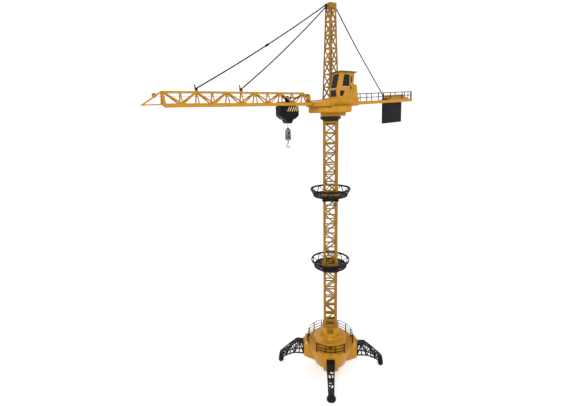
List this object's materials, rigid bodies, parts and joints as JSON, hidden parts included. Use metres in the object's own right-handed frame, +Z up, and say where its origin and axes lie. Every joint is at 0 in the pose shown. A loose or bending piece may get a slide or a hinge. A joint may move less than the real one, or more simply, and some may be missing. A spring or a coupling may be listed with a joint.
{
  "type": "toy tower crane",
  "caption": "Free-standing toy tower crane with a slewing head, a lattice jib with a travelling trolley, a hoisted hook, a cab and a counterweight.",
  "frame": {"origin": "on the floor, on the axis of the mast, midway between the four feet", "axes": "+Z up along the mast; at rest the jib points along -X, the counter-jib along +X and the cab is on the -Y side"},
  "size_m": [0.9732, 0.332, 1.28],
  "materials": {
    "yellow_plastic": "moulded golden-yellow ABS, satin gloss",
    "black_plastic": "moulded charcoal-black ABS, satin",
    "rubber": "soft black rubber",
    "steel": "zinc-plated steel",
    "cord": "braided dark cord",
    "silver_metal": "silver-grey plated plastic",
    "gear_plastic": "natural acetal",
    "roof_plastic": "dark olive-brown plastic",
    "dark_glazing": "dark smoked glazing",
    "circuit_board": "green laminate with components"
  },
  "bodies": {
    "base": {"balcony_railing_front": "black_plastic", "balcony_railing_left": "black_plastic", "balcony_railing_right": "black_plastic", "base_cover": "yellow_plastic", "base_screws": "steel", "base_shell": "yellow_plastic", "basket_lower": "black_plastic", "basket_upper": "black_plastic", "battery_cells": "steel", "battery_door": "black_plastic", "battery_tray": "black_plastic", "control_board": "circuit_board", "foot_pads": "rubber", "leg_back": "black_plastic", "leg_front": "black_plastic", "leg_left": "black_plastic", "leg_right": "black_plastic", "mast_section_lower": "yellow_plastic", "mast_section_middle": "yellow_plastic", "mast_section_upper": "yellow_plastic", "mast_socket": "yellow_plastic", "slew_gear": "gear_plastic", "slew_ring": "black_plastic"},
    "switch": {"power_switch": "black_plastic"},
    "head": {"slew_housing": "yellow_plastic", "turntable": "yellow_plastic", "slew_motor": "steel", "platform": "yellow_plastic", "cathead": "yellow_plastic", "cathead_cap": "yellow_plastic", "cab_shell": "yellow_plastic", "cab_windows": "dark_glazing", "cab_roof": "roof_plastic", "jib_frame_front": "yellow_plastic", "jib_frame_back": "yellow_plastic", "jib_nose": "yellow_plastic", "jib_screws": "steel", "trolley_motor": "steel", "trolley_cord": "cord", "counter_deck": "yellow_plastic", "counter_railing": "black_plastic", "counterweight": "black_plastic", "ballast_box": "yellow_plastic", "stay_inner": "cord", "stay_outer": "cord", "stay_rear": "cord", "stay_clips": "black_plastic"},
    "pinion": {"slew_pinion": "gear_plastic"},
    "tip_wheel": {"tip_pulley": "black_plastic"},
    "root_wheel": {"root_pulley": "black_plastic"},
    "trolley": {"trolley_carriage": "black_plastic", "hoist_housing_front": "black_plastic", "hoist_housing_back": "black_plastic", "hoist_motor": "steel", "hoist_cord": "cord"},
    "outer_wheels": {"wheelset_outer": "black_plastic"},
    "inner_wheels": {"wheelset_inner": "black_plastic"},
    "drum": {"hoist_drum": "gear_plastic"},
    "block": {"hook_block": "silver_metal"},
    "hook": {"hook": "silver_metal"}
  },
  "joints": [
    {"name": "slew", "type": "hinge", "parent": "base", "child": "head", "pos_m": [0, 0, 0.95], "axis": [0, 0, 1], "range_deg": [-340, 340]},
    {"name": "pinion_spin", "type": "hinge", "parent": "head", "child": "pinion", "pos_m": [0.0302, 0, 0.953], "axis": [0, 0, 1], "range_deg": [-1400, 1400]},
    {"name": "trolley_travel", "type": "slide", "parent": "head", "child": "trolley", "axis": [-1, 0, 0], "range_m": [-0.008, 0.3]},
    {"name": "outer_wheels_spin", "type": "hinge", "parent": "trolley", "child": "outer_wheels", "pos_m": [-0.194, 0, 0.9898], "axis": [0, 1, 0], "range_deg": [-5000, 200]},
    {"name": "inner_wheels_spin", "type": "hinge", "parent": "trolley", "child": "inner_wheels", "pos_m": [-0.15, 0, 0.9898], "axis": [0, 1, 0], "range_deg": [-5000, 200]},
    {"name": "tip_pulley_spin", "type": "hinge", "parent": "head", "child": "tip_wheel", "pos_m": [-0.547, 0, 1.012], "axis": [0, 1, 0], "range_deg": [-200, 5700]},
    {"name": "root_pulley_spin", "type": "hinge", "parent": "head", "child": "root_wheel", "pos_m": [-0.088, 0, 1.012], "axis": [0, 1, 0], "range_deg": [-200, 5700]},
    {"name": "hook_lift", "type": "slide", "parent": "trolley", "child": "block", "axis": [0, 0, 1], "range_m": [-0.84, 0.008], "deforming": ["hoist_cord"]},
    {"name": "drum_spin", "type": "hinge", "parent": "trolley", "child": "drum", "pos_m": [-0.1614, 0, 0.959], "axis": [0, 1, 0], "range_deg": [-7400, 100]},
    {"name": "hook_swivel", "type": "hinge", "parent": "block", "child": "hook", "pos_m": [-0.168, 0, 0.885], "axis": [0, 0, 1], "continuous": true},
    {"name": "switch_slide", "type": "slide", "parent": "base", "child": "switch", "axis": [0.7833, -0.6217, 0], "range_m": [0, 0.005]}
  ],
  "couplings": [
    {"joint": "pinion_spin", "follows": "slew", "ratio": 4},
    {"joint": "outer_wheels_spin", "follows": "trolley_travel", "rad_per_m": -285.71},
    {"joint": "inner_wheels_spin", "follows": "trolley_travel", "rad_per_m": -285.71},
    {"joint": "tip_pulley_spin", "follows": "trolley_travel", "rad_per_m": 322.58},
    {"joint": "root_pulley_spin", "follows": "trolley_travel", "rad_per_m": 322.58},
    {"joint": "drum_spin", "follows": "hook_lift", "rad_per_m": 151.52}
  ]
}
